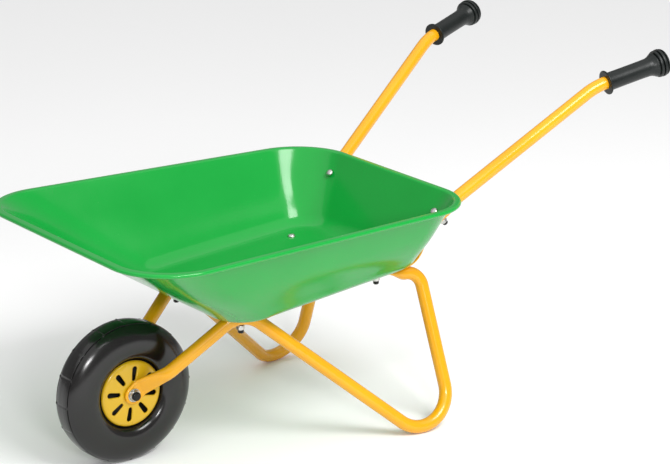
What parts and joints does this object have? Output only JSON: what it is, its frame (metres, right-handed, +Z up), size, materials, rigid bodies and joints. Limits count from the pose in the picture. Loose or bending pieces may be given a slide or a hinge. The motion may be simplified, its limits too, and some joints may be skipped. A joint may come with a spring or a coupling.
{
  "type": "wheelbarrow",
  "caption": "Child's wheelbarrow with a green pressed-steel tray, yellow tube frame, dark moulded wheel with yellow hub discs, and flared grips.",
  "frame": {"origin": "on the ground, under the middle of the overall length and width", "axes": "+X forward, from the grips to the wheel; +Y to the operator's left; +Z up"},
  "size_m": [0.8598, 0.4418, 0.479],
  "materials": {
    "tray_paint": "glossy green enamel on pressed steel sheet",
    "frame_paint": "glossy yellow enamel on steel tube",
    "hub_paint": "glossy yellow enamel on pressed steel disc",
    "grip_plastic": "semi-matte dark grey moulded plastic",
    "tyre_plastic": "semi-matte near-black moulded tyre",
    "core_plastic": "plain black moulded plastic",
    "bush_plastic": "plain dark moulded plastic",
    "cap_plastic": "glossy black moulded cap",
    "zinc": "bright zinc plating"
  },
  "bodies": {
    "barrow": {"tray": "tray_paint", "left_leg_tube": "frame_paint", "right_leg_tube": "frame_paint", "left_handle_tube": "frame_paint", "right_handle_tube": "frame_paint", "left_grip": "grip_plastic", "right_grip": "grip_plastic", "axle": "zinc", "axle_washers": "zinc", "axle_nuts": "zinc", "axle_caps": "cap_plastic", "front_floor_bolts": "zinc", "rear_floor_bolts": "zinc", "rear_wall_bolts": "zinc", "tray_bolt_washers": "zinc", "tray_bolt_nuts": "zinc", "tray_bolt_caps": "cap_plastic"},
    "wheel": {"tyre": "tyre_plastic", "left_hub_disc": "hub_paint", "right_hub_disc": "hub_paint", "hub_sleeve": "core_plastic", "left_bush": "bush_plastic", "right_bush": "bush_plastic"}
  },
  "joints": [
    {"name": "wheel_spin", "type": "hinge", "parent": "barrow", "child": "wheel", "pos_m": [0.33452, 0, 0.095], "axis": [0, 1, 0], "continuous": true}
  ]
}
